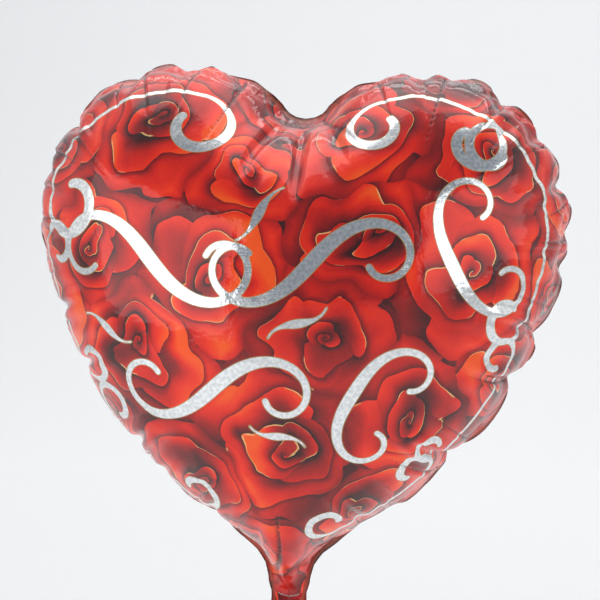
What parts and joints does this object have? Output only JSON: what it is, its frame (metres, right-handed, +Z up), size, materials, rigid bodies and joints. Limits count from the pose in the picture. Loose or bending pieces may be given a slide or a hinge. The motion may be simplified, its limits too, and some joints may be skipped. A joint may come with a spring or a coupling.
{
  "type": "heart-shaped foil balloon",
  "caption": "Inflated heart-shaped foil balloon: two printed film sheets welded round the edge, with a valve tail that folds at the neck.",
  "frame": {"origin": "middle of the neck, where a ribbon or a stick holds the balloon", "axes": "+Z up from the neck through the notch, -Y out of the printed front, +X to the right seen from the front"},
  "size_m": [0.374, 0.216, 0.445],
  "materials": {
    "printed_film": "glossy translucent ink on metallised film",
    "valve_film": "clear satin film"
  },
  "bodies": {
    "heart": {"front_panel": "printed_film", "back_panel": "printed_film", "valve_front_ply": "valve_film", "valve_back_ply": "valve_film"},
    "tail": {"front_tail": "printed_film", "back_tail": "printed_film"}
  },
  "joints": [
    {"name": "tail_fold", "type": "hinge", "parent": "heart", "child": "tail", "pos_m": [0, 0, 0], "axis": [1, 0, 0], "range_deg": [-90, 90], "deforming": ["valve_front_ply", "valve_back_ply"]}
  ]
}
